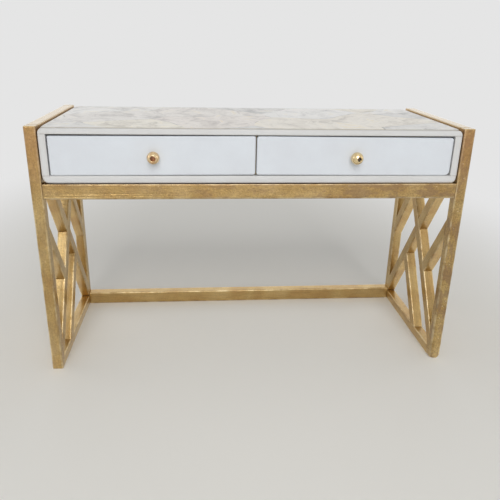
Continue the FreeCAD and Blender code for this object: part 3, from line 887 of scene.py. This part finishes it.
for side in ("left", "right"):
    drawer = f"{side}_drawer"
    board(f"{drawer}_front", "y", {**frontLook, **frontLook[side], "seed": seed}, drawerPaint)
    seed += 1.0
    for part, along in woodBoards.items():
        look = {**boardLook, "seed": seed, "grainShift": (seed * 9 * mm, seed * 3 * mm, 0)}
        board(f"{drawer}_{part}", along, look, basswood)
        seed += 1.0
    low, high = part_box(f"{drawer}_knob")
    pinLow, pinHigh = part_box(f"{drawer}_knob_pin")
    bead = turnedBead(f"{drawer}_bead", side, (low + high) / 2, (high.z - low.z) / 2,
                      (pinHigh.z - pinLow.z) / 2, knobLook)
    placePiece(bead, f"{drawer}_knob")
    pin = pinEnd(f"{drawer}_knob_pin", pinWood[side], pinShape)
    placePiece(pin, f"{drawer}_knob_pin")
print("drawers made")


# floor, light and camera

floorLook = {
    "reach": 3.0, "card": "#eae8e2", "farCard": "#e5e5e5", "reflectionGlow": "#ffffff", "roughness": 0.7,
    "patterns": {"fibre": (None, 0.6 * mm, 2.0, 0.5, 0.0)}, "bump": (0.02 * mm, 0.2),
    "oval": (14.0, 7.5, 0.0),    # one over the half widths of the shaded ground, in metres
    "zones": {    # where each begins and is full
        # aside and rear mark where the card glows white in the gold's shine: a painted reflection
        "far": (1.0, 2.4), "aside": (47 * mm, 56 * mm), "rear": (-50 * mm, -10 * mm),
    },
}


def paleFloor(look):
    # uncoated pale card, pressed from pulp: dull, with a faint tooth
    mesh = bpy.data.meshes.new("floor")
    r = look["reach"]
    mesh.from_pydata([(-r, -r, 0), (r, -r, 0), (r, r, 0), (-r, r, 0)], [], [(0, 1, 2, 3)])
    material, tree, at = startMaterial("paleFloorCard", look)
    distance, strength = look["bump"]
    bump = addNode(tree, "ShaderNodeBump", {
        "Height": at["fibre"], "Distance": distance, "Strength": strength,
    })
    shown = addNode(tree, "ShaderNodeBsdfPrincipled", {
        "Base Color": linearColour(look["card"]), "Roughness": look["roughness"], "Normal": bump,
    })
    # away from the table the card shows as an even pale ground to the eye; beside and behind the table it
    # glows white in the gold's shine only, a painted reflection
    parts = addNode(tree, "ShaderNodeSeparateXYZ", (at["place"],), None)
    oval = addNode(tree, "ShaderNodeVectorMath", (at["place"], look["oval"]), operation="MULTIPLY")
    at["far"] = addNode(tree, "ShaderNodeVectorMath", (oval,), "Value", operation="LENGTH")
    at["aside"] = addNode(tree, "ShaderNodeMath", (parts[0],), operation="ABSOLUTE")
    at["rear"] = parts[1]
    for zone, limits in look["zones"].items():
        at[zone] = addNode(tree, "ShaderNodeMapRange", (at[zone], *limits, 0.0, 1.0),
                           interpolation_type="SMOOTHSTEP")
    glowShare = addNode(tree, "ShaderNodeMath", (at["aside"], at["rear"]), operation="MULTIPLY")
    path = addNode(tree, "ShaderNodeLightPath", out=None)
    for share, ray, colour in ((at["far"], "Is Camera Ray", "farCard"), (glowShare, "Is Glossy Ray", "reflectionGlow")):
        seen = addNode(tree, "ShaderNodeMath", (share, path[ray]), operation="MULTIPLY")
        even = addNode(tree, "ShaderNodeEmission", {"Color": linearColour(look[colour]), "Strength": 1.0})
        shown = addNode(tree, "ShaderNodeMixShader", (seen, shown, even))
    addNode(tree, "ShaderNodeOutputMaterial", (shown,), None)
    mesh.materials.append(material)
    addObject("floor", mesh)


lightLook = {
    "world": 0.36, "sky": "#f6f7f8", "shown": "#e5e5e5",
    "aim": Vector((0, 0, 0.03)),
    "lamps": {    # place, width, height and watts
        "front": ((0.0, -0.53, 0.40), 0.32, 0.52, 2.4),
        "fill": ((-0.26, -0.52, 0.50), 0.20, 0.24, 0.15),
        "behind": ((0.0, 0.66, 0.20), 0.90, 0.34, 0.55),
        "left": ((-0.66, 0.10, 0.24), 0.50, 0.36, 0.55),
        "right": ((0.66, 0.10, 0.24), 0.50, 0.36, 0.45),
    },
}


def softLights(look):
    world = bpy.data.worlds.new("studio")
    bpy.context.scene.world = world
    world.use_nodes = True
    tree = world.node_tree
    tree.nodes.clear()
    path = addNode(tree, "ShaderNodeLightPath", out=None)
    rays = (path["Is Camera Ray"], path["Is Glossy Ray"])
    seen = addNode(tree, "ShaderNodeMath", rays, operation="MAXIMUM")
    lit, shown = (
        addNode(tree, "ShaderNodeBackground", {"Color": linearColour(colour), "Strength": strength})
        for colour, strength in ((look["sky"], look["world"]), (look["shown"], 1.0))
    )
    both = addNode(tree, "ShaderNodeMixShader", (seen, lit, shown))
    addNode(tree, "ShaderNodeOutputWorld", (both,), None)
    for name, (place, width, height, watts) in look["lamps"].items():
        data = bpy.data.lights.new(name, "AREA")
        data.shape, data.size, data.size_y, data.energy = "RECTANGLE", width, height, watts
        lamp = addObject(name, data)
        lamp.location = place
        lamp.rotation_euler = (look["aim"] - lamp.location).to_track_quat("-Z", "Y").to_euler()
        lamp.visible_camera = False


cameraLook = {
    "lens": 39.9, "sensor": 36.0, "near": 0.01, "place": (-12.97 * mm, -150.34 * mm, 83.73 * mm),
    "yaw": 5.21, "down": 21.02, "roll": 1.2,    # degrees
}


def addCamera(look):
    data = bpy.data.cameras.new("camera")
    data.lens = look["lens"]
    data.sensor_width = look["sensor"]
    data.clip_start = look["near"]
    camera = addObject("camera", data)
    camera.location = look["place"]
    yaw, down, roll = (math.radians(look[k]) for k in ("yaw", "down", "roll"))
    ahead = Vector((math.sin(yaw) * math.cos(down), math.cos(yaw) * math.cos(down), -math.sin(down)))
    right = Vector((math.cos(yaw), -math.sin(yaw), 0))
    upward = right.cross(ahead)
    rolledRight = right * math.cos(roll) + upward * math.sin(roll)
    rolledUp = upward * math.cos(roll) - right * math.sin(roll)
    camera.rotation_euler = Matrix((rolledRight, rolledUp, -ahead)).transposed().to_euler()
    bpy.context.scene.camera = camera


paleFloor(floorLook)
softLights(lightLook)
addCamera(cameraLook)
bpy.context.scene.view_settings.view_transform = "Standard"

bpy.context.view_layer.update()
print("scene ready")
